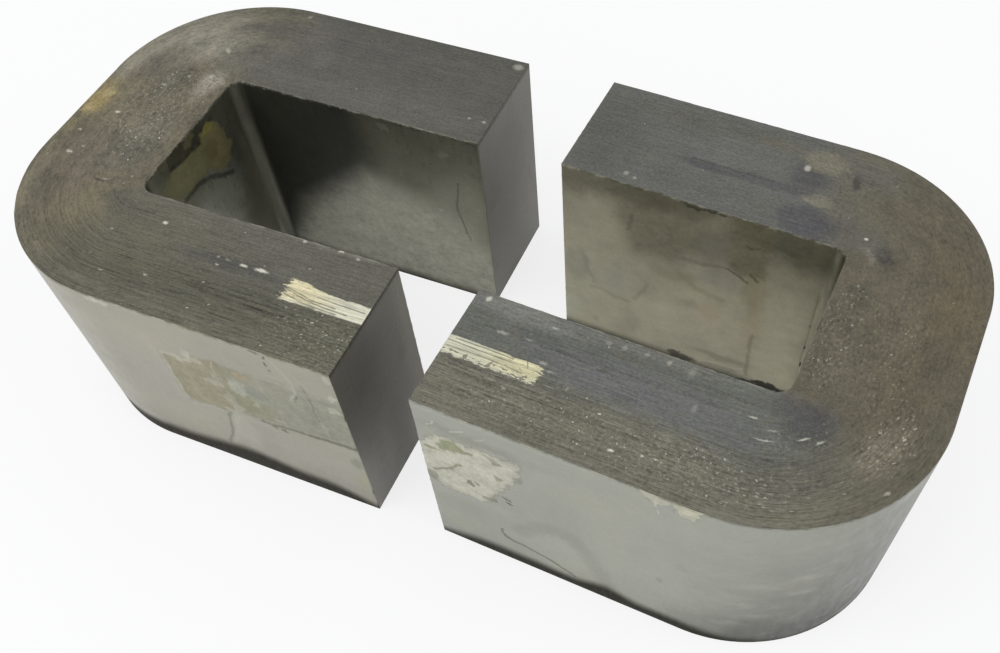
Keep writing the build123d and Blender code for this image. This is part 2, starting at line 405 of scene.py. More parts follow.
def ribbonEdges(name, look):
    edge = Finish(name, look["seed"], "offset")
    torn = edge.torn(*brushed["torn"])
    crisp = edge.torn(*brushed["crisp"])
    speck = edge.grain(*brushed["speck"])

    # the ground colour of each stretch, and its stains
    plain = edge.fade(edge.run, *brushed["yokeStart"]) * edge.fade(edge.run, *brushed["yokeEnd"])
    back = edge.fade(edge.run, *brushed["backStart"])
    outer = edge.fade(edge.offset, *brushed["outerTurns"])
    leg = edge.mix(outer, tone(*look["legInner"]), tone(*look["legOuter"]))
    leg = edge.mix(back, leg, tone(*look["backLeg"]))
    colour = edge.mix(plain, leg, tone(*look["yoke"]))
    colour = edge.stain(colour, torn, look["marks"])
    hue = edge.grain(*brushed["hue"])
    colour = edge.mix(edge.fade(hue, *brushed["warmHues"]), colour, tone(*brushed["warm"]))
    colour = edge.mix(edge.fade(hue, *brushed["coolHues"]), colour, tone(*brushed["cool"]))

    # the turns: bands, lines and hairs that run with the ribbon, clearest on the front leg
    streak = 0.0
    for *layer, weight in brushed["turns"]:
        streak = (edge.grain(*layer) - 0.5) * weight + streak
    clear = (1.0 - plain * 0.8) * (1.0 - back * 0.6) * (0.6 + outer * 0.4)
    shade = 1.0 + streak * clear * 1.6 + (speck - 0.5) * brushed["speckle"]
    for *layer, weight in brushed["blotches"]:
        shade = shade + (edge.grain(*layer) - 0.5) * (weight + plain * look["uneven"])
    for points in look["scores"]:
        gap = edge.line(edge.plane, points) + speck * 0.2
        shade = shade - edge.fade(gap, *brushed["scored"])
    busy = brushed["sparse"]
    for at, half, share in look["sparkle"]:
        busy = edge.fade(edge.spot(torn, at, half), 1.4, 0.6, 0.0, share).larger(busy)
    crust = edge.grain(*brushed["crust"])
    colour = edge.scaled(colour, shade + (crust - 0.5) * busy * 1.5)

    # painted glints: highlights painted into the colour, each with a painted shade beside it, and painted
    # crinkle highlights where the grain is rough
    share = busy * edge.grain(*brushed["gathered"]) * 0.7
    glint, glintShade = edge.glints(crisp, look["cell"], brushed["glintTurn"], brushed["glintSize"], share)
    colour = edge.scaled(colour, 1.0 - glintShade * 0.3)
    highlightsAndFlecks = (glint * 0.7).larger(edge.fade(crust, 0.60, 0.74) * busy * 0.5)
    for at, half, share in look["flecks"]:
        highlightsAndFlecks = highlightsAndFlecks.larger(edge.fade(edge.spot(crisp, at, half), 1.2, 0.3, 0.0, share))
    colour = edge.mix(highlightsAndFlecks, colour, tone(*brushed["resin"]))

    # the window's edge: rubbed pale, with a few chips
    rim = edge.fade(edge.offset + (speck - 0.5) * 0.6, brushed["rimWidth"], 0.1)
    worn = edge.grain(*brushed["worn"])
    rubbed = edge.fade(worn, *brushed["rubbedWear"]) * (1.0 - plain.larger(back) * 0.8)
    colour = edge.mix(rim * rubbed, colour, tone(*brushed["rubbed"]))
    colour = edge.mix(rim * edge.fade(worn, *brushed["chippedWear"]), colour, tone(*brushed["chipped"]))

    # the dab of paint at the cut
    paint = look["paint"]
    ragged = edge.grain(*brushed["ragged"])
    blotch = edge.grain(*brushed["blotch"])
    thin = edge.grain(*brushed["thin"])
    inner = edge.offset + edge.fade(edge.run, 6.0, 11.0) * paint["flare"] + (ragged - 0.5) * 0.8
    dab = edge.fade(inner, paint["inner"] - 0.1, paint["inner"] + 0.12)
    outside = edge.offset + (blotch - 0.5) * (0.5 + paint["row"])
    dab = dab * edge.fade(outside, paint["outer"] + 0.1, paint["outer"] - 0.12)
    dab = dab * edge.fade(edge.run + (ragged - 0.5) * 4.5, paint["end"] + 0.15, paint["end"] - 0.15)
    for points in paint["splits"]:
        gap = edge.line(edge.plane, points) + (ragged - 0.5) * 0.4
        dab = dab * edge.fade(gap, *brushed["split"])
    row = edge.fade(edge.offset, paint["outer"] - 1.0, paint["outer"] - 0.7) * paint["row"]
    dab = dab * (1.0 - row * edge.fade(blotch, 0.53, 0.58))
    clean = edge.fade(edge.offset, paint["outer"] - 1.0, paint["outer"], 1.0, 0.3)
    yellow = edge.fade(edge.run, 2.0, 10.0) * clean
    cream = edge.mix(yellow, tone(*paint["white"]), tone(*paint["cream"]))
    stained = yellow * edge.fade(blotch, *brushed["stainedBlotch"])
    cream = edge.mix(stained, cream, tone(*brushed["stained"]))
    cream = edge.scaled(cream, 0.9 + (thin - 0.5) * 1.5 + (blotch - 0.5) * 0.35)
    colour = edge.mix(dab, colour, cream)

    rough = edge.fade(streak + speck * 0.3, *brushed["dull"]) - highlightsAndFlecks * 0.15
    return edge.close(colour, rough, brushed["metal"], streak * 0.45 + speck * 0.6, brushed["relief"])


# Cut faces: ground across all the turns, so their lines stand upright
leftCut = {
    "seed": 5, "top": (111, 109, 101), "foot": (127, 125, 119), "tint": (103, 97, 85),
    "marks": [
        ((17.5, 34), (9, 14), (74, 72, 64), 0.7, 0.7),            # dark corner under the top edge
        ((0.4, 18), (2.6, 26), (138, 134, 124), 0.6, 0.6),        # pale turns next to the window
        ((3, 3), (4, 6), (150, 146, 138), 0.5, 0.8),
        ((9, 4), (2.6, 12), (108, 106, 98), 0.6, 0.7),
        ((18, 6), (2, 8), (140, 137, 130), 0.5, 0.7),
    ],
}
rightCut = {
    "seed": 55, "top": (118, 117, 110), "foot": (126, 125, 119), "tint": (110, 105, 92),
    "marks": [
        ((2, 6), (4, 9), (140, 138, 130), 0.5, 0.8),
        ((15, 30), (7, 8), (92, 90, 82), 0.5, 0.8),
    ],
}
ground = {
    "lines": ((6.0, 0.05), 2.0, 0.6), "cloud": ((0.1, 0.1), 3.0, 0.5, 3.0),
    "speck": ((3.0, 2.0), 3.0, 0.7, 5.0), "torn": (1.5, 0.2), "burr": (58, 56, 48),
    "footHeight": (34.0, 4.0), "burrHeight": (34.0, 34.8), "tinted": (0.5, 0.7, 0.0, 0.6),
    "frontLeg": (80.0, 50.0),                                 # the marks are on the front leg's cut face only
    "rough": 0.5, "metal": 0.35, "relief": 0.03,
}


def cutFace(name, look):
    cut = Finish(name, look["seed"], "cut")
    lines = cut.grain(*ground["lines"])
    cloud = cut.grain(*ground["cloud"])
    speck = cut.grain(*ground["speck"])
    colour = cut.mix(cut.fade(cut.height, *ground["footHeight"]), tone(*look["top"]), tone(*look["foot"]))
    colour = cut.mix(cut.fade(cloud, *ground["tinted"]), colour, tone(*look["tint"]))
    front = cut.fade(cut.run, *ground["frontLeg"])
    marked = cut.stain(colour, cut.torn(*ground["torn"]), look["marks"])
    colour = cut.mix(front, colour, marked)
    rim = cut.fade(cut.height + (speck - 0.5) * 1.6, *ground["burrHeight"])
    colour = cut.mix(rim * 0.75, colour, tone(*ground["burr"]))
    colour = cut.scaled(colour, 1.0 + (lines - 0.5) * 0.25 + (cloud - 0.5) * 0.5 + (speck - 0.5) * 0.6)
    return cut.close(colour, ground["rough"], ground["metal"], lines + speck * 0.6, ground["relief"])


# The ribbon's two faces: the outer skin is the last turn and the inner wall the first. A film is its
# outline (run, height), colour, share, softness, how dark its crumbling rim is and how it wanders;
# a scrap is its place, half size, colour and share; a line is its points, half width, colour and share.
# Cloud and mottle say how uneven the steel is and wet how smooth. The foot is painted shade above the table,
# a dark band standing in for the contact shadow: how high it stands up to its end and after it, where it
# swells, and how much painted shade darkens the steel over it.
leftSkin = {
    "seed": 9, "steel": (161, 158, 143), "warm": (172, 160, 130),
    "cloud": 0.24, "mottle": 0.18, "wet": 0.3,
    "marks": [
        ((9, 9.5), (11, 6), (158, 156, 144), 0.6, 0.6),           # smooth field under the film
        ((4, 21), (3, 3), (132, 134, 118), 0.5, 0.7),
        ((34, 21), (7, 9), (164, 160, 148), 0.5, 0.7),
        # painted shading: a darker diagonal band, and a lighter one beside it
        ((16.6, 9.5), (1.8, 4.5), (146, 146, 136), 0.4, 0.8),
        ((20.9, 10.5), (2, 5), (172, 170, 157), 0.6, 0.6),
        ((0.7, 8.2), (1.1, 2.4), (158, 157, 124), 0.6, 0.5),
        ((0.8, 13), (1.3, 1.7), (118, 120, 100), 0.55, 0.5),
    ],
    "films": [
        ([(-1, 17.4), (13.4, 16.6), (13, 28), (9, 29.2), (-1, 28)],
         (139, 139, 123), 0.75, 1.1, 0, "steady"),                # scoured field by the cut
        ([(12.6, 21), (13.4, 16.8), (19.8, 16.4), (20.2, 28.2), (14, 28.2)],
         (138, 136, 111), 0.75, 0.7, 0, "ragged"),
        ([(19.6, 18), (22, 15.6), (29.2, 14.8), (29.5, 26), (24, 27.4), (19.4, 28.4)],
         (147, 141, 115), 0.9, 0.3, 0.2, "ragged"),               # brown resin left under torn tape
    ],
    "scraps": [
        ((14.5, 23.6), (2.2, 2.6), (144, 145, 132), 0.8), ((17.3, 20), (2, 2.6), (132, 130, 101), 0.5),
        ((15.8, 27.3), (1.6, 0.5), (170, 151, 120), 0.5), ((17.6, 23.6), (1.5, 2.1), (168, 167, 152), 0.9),
        ((21.8, 22.8), (1.9, 0.9), (170, 163, 146), 0.9), ((20.9, 24.2), (0.9, 0.9), (168, 162, 146), 0.8),
        ((20.2, 19.6), (0.9, 1.8), (162, 157, 138), 0.8), ((19.6, 17.6), (1, 1.3), (166, 162, 145), 0.8),
        ((21.4, 16.2), (1.4, 0.6), (166, 162, 145), 0.8), ((24.6, 27.8), (0.8, 1.5), (178, 174, 158), 0.95),
        ((26.4, 26.5), (2, 0.6), (176, 171, 154), 0.9), ((28.8, 26.2), (1.2, 0.5), (178, 173, 156), 0.9),
        ((23, 27), (1.2, 0.5), (170, 164, 147), 0.8), ((0.8, 33.8), (0.8, 0.8), (184, 183, 168), 0.8),
        ((1, 29.3), (0.8, 0.9), (182, 181, 166), 0.8), ((1.4, 26.3), (1.2, 0.9), (180, 180, 160), 0.8),
        ((36.4, 34.3), (2, 0.8), (188, 186, 174), 0.85), ((31.6, 34.6), (2.2, 0.35), (184, 182, 170), 0.5),
        ((12.6, 18), (0.9, 0.6), (166, 164, 148), 0.6), ((15.6, 20.6), (0.5, 0.5), (164, 162, 140), 0.7),
        ((12.4, 15.7), (0.5, 0.6), (110, 108, 92), 0.8), ((14.1, 15.7), (0.8, 0.6), (110, 108, 92), 0.8),
        ((9.8, 33.9), (0.3, 0.4), (98, 96, 86), 0.9), ((10.1, 32.6), (0.3, 0.4), (98, 96, 86), 0.9),
        ((9.9, 31.2), (0.3, 0.3), (98, 96, 86), 0.8), ((11.4, 34.6), (1.2, 0.35), (104, 102, 92), 0.8),
    ],
    "lines": [
        ([(-1, 17.5), (4, 17), (8, 16.7)], 0.62, (92, 90, 74), 0.8),
        ([(8, 16.7), (12, 16.3), (16, 16.1)], 0.5, (104, 102, 86), 0.8),
        ([(21.8, 15.4), (22.7, 13.6), (23.1, 11.6), (23.5, 9.8), (24.3, 7.8), (25.8, 5.2)],
         0.46, (122, 120, 108), 0.8),
        ([(20.8, 14.6), (22, 11.4), (23.4, 7.6), (25.2, 4.4)], 0.7, (176, 174, 160), 0.5),
        ([(29.3, 26), (29.5, 21), (29.3, 15.4)], 0.34, (174, 169, 150), 0.8),
        ([(23.2, 15.1), (26, 14.6), (29, 13.9)], 0.3, (174, 170, 152), 0.8),
        ([(20.2, 28.4), (20.7, 26.8), (20.4, 25.2)], 0.22, (172, 167, 148), 0.8),
        ([(8.8, 33.4), (6.9, 29.6), (7.3, 27.4), (8.4, 25.2)], 0.4, (170, 170, 157), 0.7),
        ([(6.9, 29.6), (5.2, 25.4), (4.7, 22), (4.3, 17.6)], 0.34, (158, 158, 146), 0.6),
        ([(3, 28.4), (6.4, 28), (9.6, 28.6), (13.4, 28.2)], 0.3, (162, 162, 148), 0.5),
        ([(7.3, 27), (7.6, 25)], 0.26, (108, 108, 94), 0.8),
        ([(5.6, 29.8), (4.9, 27.2), (5.2, 24.2), (4.8, 22)], 0.24, (116, 117, 102), 0.7),
    ],
    "foot": {"rise": 3.3, "swell": (22, 14, 1.6), "end": 52, "rest": 0.6, "shadeOver": 0.2},
}
rightSkin = {
    "seed": 59, "steel": (160, 161, 150), "warm": (172, 162, 132),
    "cloud": 0.22, "mottle": 0.18, "wet": 0.32,
    "marks": [
        ((9, 30.6), (8, 1), (138, 137, 124), 0.6, 0.6),           # grey line over the film
        ((19.6, 9.2), (5.6, 5), (165, 166, 154), 0.6, 0.3),       # inside of the water mark
        ((5, 11.4), (6, 2.4), (146, 148, 134), 0.5, 0.7),
        ((4, 6.6), (3, 2), (164, 167, 146), 0.5, 0.7),
        ((51, 7), (9, 13), (108, 108, 100), 0.8, 0.8),            # painted shade on the bend, darker where it turns away from the light
        # more painted shade over the bend and the yoke's side
        ((62, 14), (15, 30), (111, 111, 103), 0.9, 0.7),
        # painted shade at the bend's foot
        ((50.5, 0), (11, 7.5), (64, 63, 56), 0.9, 0.8),
        ((20, 21), (3.5, 4), (152, 153, 142), 0.4, 0.8),
        ((35.1, 13.3), (0.6, 0.6), (136, 137, 126), 0.6, 0.5),
        ((37.2, 19), (0.8, 0.7), (146, 147, 136), 0.4, 0.5),
    ],
    "films": [
        ([(-1, 20), (2.2, 15.6), (8, 15.4), (13.4, 16.4), (14.3, 25), (16.6, 29),
          (2.6, 28.8), (-1, 24)],
         (190, 188, 171), 0.92, 0.14, 0.4, "ragged"),             # cream resin by the cut
        ([(30.8, 36), (31.4, 33.8), (33.4, 33.2), (34.7, 34), (34.9, 36)],
         (186, 183, 164), 0.7, 0.14, 0.2, "ragged"),              # flakes under the top edge
        ([(35, 36), (35.3, 33.2), (37.8, 32.3), (38.7, 36)], (194, 190, 168), 0.9, 0.12, 0.3, "ragged"),
    ],
    "scraps": [
        ((5.2, 27.4), (2, 1.4), (136, 139, 106), 0.9), ((3.6, 26.6), (0.9, 0.8), (140, 143, 112), 0.8),
        ((1.8, 25.3), (1, 0.5), (136, 137, 108), 0.85), ((7.6, 27.6), (0.8, 0.4), (128, 128, 104), 0.7),
        ((7, 19.2), (0.5, 0.6), (122, 121, 100), 0.85), ((7.9, 20), (0.4, 0.5), (128, 127, 104), 0.8),
        ((11.5, 23.9), (0.5, 0.8), (142, 141, 120), 0.8), ((11.6, 27.4), (0.8, 0.5), (134, 133, 114), 0.8),
        ((12.4, 19), (0.7, 0.5), (112, 110, 90), 0.85), ((12.7, 17.8), (0.6, 0.3), (78, 77, 62), 0.9),
        ((9.8, 17), (1.4, 0.6), (132, 131, 112), 0.8), ((14.6, 25.2), (0.6, 0.7), (146, 145, 130), 0.7),
        ((0.9, 17.6), (0.9, 1.6), (140, 140, 122), 0.8), ((10.6, 28.2), (1.3, 0.3), (134, 133, 114), 0.7),
    ],
    "lines": [
        ([(1.4, 19.4), (3.4, 20.8), (4.6, 21.8), (5.3, 22.8), (6, 23.3)], 0.4, (136, 136, 108), 0.85),
        ([(10.9, 8.9), (10.7, 7.9), (11.2, 7.1), (12.6, 6.4), (15.8, 5.9), (18.2, 5.2),
          (20.4, 4), (22.4, 3)], 0.44, (104, 104, 88), 0.85),
        ([(14, 10.8), (16.6, 13.6), (19, 15.2), (21.6, 15), (24, 12.4), (25.4, 9), (27.4, 5)],
         2.4, (139, 140, 129), 0.5),
        ([(2, 30.7), (2.8, 31.3), (3, 32)], 0.18, (190, 193, 182), 0.8),
        ([(5.2, 30.9), (7.2, 32.2)], 0.18, (190, 193, 182), 0.8),
        ([(8.8, 31.2), (9.8, 31.6), (10.6, 32.6)], 0.18, (184, 187, 176), 0.7),
        ([(0.6, 34), (6, 34.2), (13, 34.1), (25, 34.2)], 0.16, (182, 184, 172), 0.5),
        ([(33, 33.6), (33.4, 31)], 0.2, (190, 190, 174), 0.8),
        ([(50.5, 3.5), (50.7, 1)], 0.2, (84, 82, 73), 0.7),
    ],
    "foot": {"rise": 2.8, "swell": (27, 5.5, 1.4), "end": 42, "rest": 0.4, "shadeOver": 0.12},
}
leftWall = {
    "seed": 11, "steel": (112, 112, 97), "warm": (116, 106, 80),
    "cloud": 0.5, "mottle": 0.2, "wet": 0.26,
    "marks": [
        ((69, 19), (5, 7), (146, 148, 138), 0.9, 0.5),
        ((84, 34), (6, 5), (60, 60, 50), 0.7, 0.7),
        ((84.5, 19), (3.6, 3.4), (124, 124, 112), 0.6, 0.8),
        ((86, 10), (4, 3), (128, 128, 118), 0.6, 0.8),
        ((131, 20), (5, 12), (146, 145, 130), 0.6, 0.7),
        ((65, 33.8), (6, 2), (66, 62, 46), 0.8, 0.6),
        ((60.4, 28), (1.8, 4), (112, 108, 82), 0.6, 0.7),
        ((127, 29), (5, 4), (112, 112, 96), 0.5, 0.6),
        ((112, 8), (6, 4), (156, 155, 140), 0.5, 0.7),
    ],
    "films": [
        ([(96.5, -4), (102, -4), (117.5, 27), (117, 40), (91, 40), (91.5, -4)],
         (34, 34, 28), 0.93, 4.5, 0, "steady"),                   # painted dark reflection at the end of the back leg's wall
        ([(94, -4), (138, -4), (138, 8), (128, 18.5), (115, 22), (101.5, 11.5)],
         (176, 175, 159), 0.92, 3.6, 0, "steady"),                # painted lighter reflection below it
        ([(74, -3), (81, -3), (81, 16), (77, 24)], (132, 131, 114), 0.6, 2.6, 0, "steady"),
        ([(80, 8), (89, -2), (89, 37), (79, 37)], (84, 84, 72), 0.8, 3, 0, "steady"),
        ([(59, 30.6), (61.6, 27.6), (64, 26.9), (69.8, 27), (70, 31.6), (62.5, 32.6)],
         (104, 101, 66), 0.9, 0.3, 0.3, "ragged"),                # yellow-green resin on the yoke
        ([(68.4, 27.2), (71, 24.2), (73.2, 24.6), (74.6, 27.4), (73.2, 32), (71.6, 33.8), (69.4, 33.4)],
         (106, 99, 64), 0.9, 0.3, 0.3, "ragged"),
    ],
    "scraps": [
        ((127.5, 18.7), (0.5, 0.4), (170, 170, 154), 0.9), ((70.6, 29.2), (1.6, 1.7), (92, 80, 54), 0.7),
        ((71, 32.6), (1.7, 0.8), (126, 119, 58), 0.8), ((67.2, 34), (1.2, 1), (104, 98, 66), 0.5),
        ((61.4, 34), (1, 0.8), (96, 92, 66), 0.4), ((120, 33.4), (1, 0.8), (120, 118, 100), 0.4),
        ((129.6, 31), (0.9, 0.8), (128, 126, 108), 0.4), ((131.8, 25), (1.4, 2.4), (126, 126, 112), 0.5),
    ],
    "lines": [
        ([(62.5, 26.4), (66, 26.4), (68.6, 25.6), (70.2, 24), (72.6, 22.6)], 0.7, (52, 52, 40), 0.7),
        ([(62.4, 32.6), (65.4, 32.2), (68.8, 31.8)], 0.5, (46, 44, 32), 0.8),
        ([(131.2, 26), (130.4, 20), (132, 14)], 0.3, (84, 84, 70), 0.6),
    ],
    "foot": {"rise": 1.2, "swell": (0, 1, 0), "end": 200, "rest": 1.2, "shadeOver": 0.16},
}
rightWall = {
    "seed": 61, "steel": (162, 158, 138), "warm": (164, 148, 116),
    "cloud": 0.5, "mottle": 0.4, "wet": 0.3,
    "marks": [
        ((112.6, 27.8), (3, 3.2), (134, 128, 117), 0.7, 0.4),     # purplish scrap
        ((104.8, 14), (1.6, 6), (150, 136, 108), 0.6, 0.6),       # rust tint at the lap
        ((105.6, 22), (1.8, 5), (140, 134, 104), 0.6, 0.5),
        ((112, 9.5), (9, 6), (174, 169, 149), 0.6, 0.7),
        ((111.6, 13.6), (2, 2.4), (166, 150, 128), 0.5, 0.6),
        ((110.6, 21.6), (3.4, 2.4), (150, 146, 134), 0.5, 0.5),
        ((100.5, 13), (4, 12), (174, 170, 148), 0.6, 0.7),
        ((86, 14), (9, 26), (134, 130, 110), 0.9, 0.5),
        ((84, 32), (10, 8), (78, 72, 54), 0.9, 0.7),
        ((126.8, 13.6), (2.4, 3), (164, 161, 144), 0.6, 0.5),
        ((124.6, 4.6), (1.6, 4), (142, 138, 120), 0.5, 0.7),
        ((133.4, 15.6), (2, 4), (138, 138, 122), 0.6, 0.4),
        ((134.6, 5), (1.4, 4), (170, 172, 154), 0.5, 0.6),
        ((130, 2.8), (0.9, 0.6), (140, 132, 108), 0.5, 0.6),
        ((108.6, 4), (4.6, 0.9), (134, 129, 110), 0.7, 0.5),      # shade over the fold
        ((117.4, 19.6), (3, 1.4), (138, 133, 112), 0.6, 0.7),
        ((115.2, 14.4), (1.8, 1), (144, 139, 119), 0.6, 0.7),
        ((119.6, 33), (3.6, 0.9), (100, 96, 76), 0.7, 0.7),
    ],
    "films": [
        ([(92, 29.4), (100, 28.4), (110, 31.6), (110, 38), (92, 38)],
         (84, 80, 62), 0.85, 2.2, 0, "loose"),                    # olive film hanging from the top edge
        ([(104.8, 24.8), (107, 23.9), (110, 25), (110.8, 38), (104.6, 38)],
         (118, 112, 88), 0.75, 0.9, 0, "loose"),
        ([(114.4, 27), (117.4, 22.4), (124.6, 22.4), (126.4, 27.6), (127.2, 38), (113, 38)],
         (118, 113, 92), 0.7, 2.2, 0, "loose"),
        ([(108, 32.6), (122, 31.6), (130.6, 29.6), (136.4, 31), (136.4, 38), (108, 38)],
         (96, 92, 74), 0.75, 2, 0, "loose"),
    ],
    "scraps": [
        # painted shadow: the black gap under the wall's foot, and a dark curve further along it
        ((100.6, 0.9), (2.9, 0.8), (30, 29, 24), 0.95), ((103.8, 0.5), (1.6, 0.4), (60, 58, 48), 0.8),
        ((115, 1), (2.4, 1.1), (84, 82, 68), 0.85),
        ((96, 13), (0.8, 0.4), (56, 53, 42), 0.95), ((95.7, 8.8), (0.9, 0.4), (56, 53, 42), 0.95),
        ((96.2, 18.1), (0.5, 0.25), (88, 84, 68), 0.8),
        # a pale fold at the foot, and a painted shadow line under the top edge
        ((108, 1.5), (3.6, 0.6), (172, 168, 150), 0.6), ((114, 34.5), (4, 0.4), (64, 60, 46), 0.8),
    ],
    "lines": [
        ([(104.2, 2), (104.6, 8), (104.5, 12)], 0.55, (130, 121, 95), 0.6),
        ([(105.3, 23.8), (106.6, 24.8)], 0.4, (92, 86, 66), 0.7),
        ([(106.8, 23.1), (108, 23.8), (109.9, 24.6)], 0.36, (98, 92, 70), 0.7),
        ([(106, 30.4), (107, 29.9), (108, 30.4)], 0.32, (98, 74, 56), 0.6),
        ([(121.6, 15.4), (122.4, 13.6), (123.6, 11.4)], 0.6, (136, 132, 112), 0.45),
        ([(124.6, 10.4), (127, 10.2), (129, 11.2), (130.9, 10.8)], 0.7, (134, 130, 112), 0.45),
        ([(132.4, 18.8), (131.6, 15.5), (130.4, 12.2)], 0.6, (134, 130, 112), 0.4),
        ([(110.4, 24.6), (113.4, 24), (116.6, 23.8)], 0.6, (124, 119, 104), 0.5),
        ([(110, 17.6), (114.2, 18.4), (117.2, 20.8)], 0.9, (134, 129, 110), 0.4),
        ([(104.8, 3), (106, 2.4), (109, 2.4), (112.2, 1.4)], 0.22, (186, 183, 166), 0.6),
        ([(124.6, 29.4), (125, 26.4)], 0.6, (98, 93, 76), 0.4),
    ],
    "foot": {"rise": 0.9, "swell": (0, 1, 0), "end": 200, "rest": 0.9, "shadeOver": 0.05},
}


# How far an outline wanders (reach, features to the millimetre, shift), and the layers of noise
coated = {
    "marks": (2.0, 0.22), "loose": (1.6, 0.4, 9.0), "ragged": (1.3, 0.6, 4.0), "steady": (0.5, 0.4, 2.0),
    "cloud": ((0.07, 0.09), 4.0, 0.58), "streak": ((1.6, 0.3), 3.0, 0.6, 3.0),
    "speck": ((2.2, 2.2), 3.0, 0.7, 6.0), "crumb": ((1.3, 1.3), 3.0, 0.7, 8.0),
    "mottle": ((0.34, 0.40), 5.0, 0.7, 10.0), "warmClouds": (0.52, 0.66, 0.0, 0.14),
    "footShade": (46, 44, 35), "darkLip": (84, 81, 68), "lipHighlight": (190, 188, 174), "relief": 0.08,
    "dimHeight": 12.0, "footShadeEdge": (1.2, -1.7), "lipEdge": (34.5, 34.85), "cutEnd": (-3.0, 9.0),
}


def ribbonFace(name, look):
    face = Finish(name, look["seed"], "height")
    planes = {way: face.torn(*coated[way]) for way in ("marks", "loose", "ragged", "steady")}
    cloud = face.grain(*coated["cloud"])
    streak = face.grain(*coated["streak"])
    speck = face.grain(*coated["speck"])
    crumb = face.grain(*coated["crumb"])
    mottle = face.grain(*coated["mottle"])

    colour = face.mix(face.fade(cloud, *coated["warmClouds"]), tone(*look["steel"]), tone(*look["warm"]))
    colour = face.stain(colour, planes["marks"], look["marks"])
    cover = 0.0
    for corners, paint, share, soft, rim, way in look["films"]:
        gap = face.patch(planes[way], corners)
        mask = face.fade(gap, soft, -soft, 0.0, share)
        colour = face.mix(mask, colour, tone(*paint))
        cover = mask.larger(cover)
        if rim:
            crumbs = face.fade(gap.size(), 0.8, 0.2) * face.fade(crumb, 0.46, 0.58) * rim
            colour = face.mix(crumbs, colour, tone(*(0.6 * value for value in paint)))
    for at, half, paint, share in look["scraps"]:
        mask = face.fade(face.spot(planes["ragged"], at, half), 1.15, 0.75, 0.0, share)
        colour = face.mix(mask, colour, tone(*paint))
        cover = mask.larger(cover)
    for points, width, paint, share in look["lines"]:
        gap = face.line(planes["steady"], points) + (crumb - 0.5) * width
        colour = face.mix(face.fade(gap, width, width * 0.2, 0.0, share), colour, tone(*paint))
    shade = 1.0 + (cloud - 0.5) * look["cloud"] + (streak - 0.5) * 0.14 + (speck - 0.5) * 0.26
    foot = look["foot"]
    # painted shade: the steel darkens towards the table
    shadeOver = face.fade(face.height, coated["dimHeight"], 0.0, 0.0, foot["shadeOver"])
    shade = shade + (mottle - 0.5) * (cover * 0.9 + look["mottle"]) - shadeOver
    colour = face.scaled(colour, shade + (crumb - 0.5) * cover * 0.7)

    # painted shade: a dark foot where the face meets the table, standing in for the contact shadow, and a
    # rough top edge with a painted highlight line
    at, half, lift = foot["swell"]
    rise = face.fade(face.run, foot["end"] - 4.0, foot["end"] + 6.0, foot["rise"], foot["rest"])
    swell = face.fade((face.run - at).size(), half, 0.0, 0.0, lift)
    rise = rise * face.fade(face.run, *coated["cutEnd"], 0.3, 1.0) + swell
    # the painted shade band at the foot, also a little more metal and rougher
    low = face.fade(face.height - rise + (cloud - 0.5) * 1.6, *coated["footShadeEdge"])
    colour = face.mix(low * 0.96, colour, tone(*coated["footShade"]))
    edge = face.fade(face.height + (crumb - 0.5) * 0.9, *coated["lipEdge"])
    # the pale streaks along the top edge are a painted highlight line
    lip = face.mix(face.fade(mottle, 0.46, 0.56), tone(*coated["darkLip"]), tone(*coated["lipHighlight"]))
    colour = face.mix(edge * 0.35, colour, lip)
    rough = face.fade(streak, 0.3, 0.7, look["wet"], look["wet"] + 0.1) + cover * 0.2 + edge * 0.3
    metal = (1.0 - cover) * 0.5 + 0.25 + low * 0.4
    return face.close(colour, rough + low * 0.3, metal, cloud + speck * 0.08, coated["relief"])


# The mesh of one half: a straight bar, cut into fine rows and then wound round the window
bar = {
    "rows": (300, 96, 52),                        # along the run, across the build-up, up the ribbon
    "lip": 0.15,                                  # width of the outermost row at every edge
    "ridge": 0.06, "dip": 0.07, "dipWidth": 0.34,
    "wear": 0.07, "chip": 0.3,
    "sunk": {"outer": 0.08, "inner": 0.03},       # how far the faces lie in, so that films stand proud
}
# Where the ribbon's faces stand proud of their ground: place (run, height), half size and lift
leftSwell = {"outer": [((21.5, 21.4), (8.4, 6.0), 0.07), ((36.4, 34.3), (2.0, 0.9), 0.07)],
             "inner": [((68.0, 28.0), (7.0, 5.0), 0.03)]}
rightSwell = {"outer": [((7.0, 22.2), (7.0, 6.8), 0.08), ((35.0, 33.8), (3.4, 1.2), 0.08)],
              "inner": [((100.6, 12.0), (4.0, 12.4), 0.03)]}


def woundPlace(run, offset):
    # plan of a point once the bar is wound: cut plane at x = 0, front leg on -y, yoke towards +x
    mirrored = run > fullRun / 2
    way = fullRun - run if mirrored else run
    leg, yoke = straights(offset)
    radius = cornerRadius(offset)
    side = winding["windowWidth"] / 2 + offset
    if way < legRun:
        x, y = leg * way / legRun, -side
    elif way < legRun + bendRun:
        angle = (way - legRun) / bendRun * math.pi / 2
        x, y = leg + radius * math.sin(angle), radius - side - radius * math.cos(angle)
    else:
        x = winding["windowDepth"] + offset
        y = yoke * ((way - legRun - bendRun) / yokeRun - 1)
    return x, -y if mirrored else y


def rowPlace(share, rows, length):
    # the outermost rows are narrow, so that the edge can be worn
    row = round(share * rows)
    if row in (0, rows):
        return length * row / rows
    return bar["lip"] + (length - 2 * bar["lip"]) * (row - 1) / (rows - 2)


def jointDip(offset):
    dip = 0.0
    for index in range(winding["joints"]):
        even = winding["buildUp"] * (index + 1) / (winding["joints"] + 1)
        middle = even + winding["jointWander"] * math.sin(index * winding["wanderPhase"])
        dip = max(dip, 1 - abs(offset - middle) / (bar["dipWidth"] / 2))
    return max(dip, 0.0)


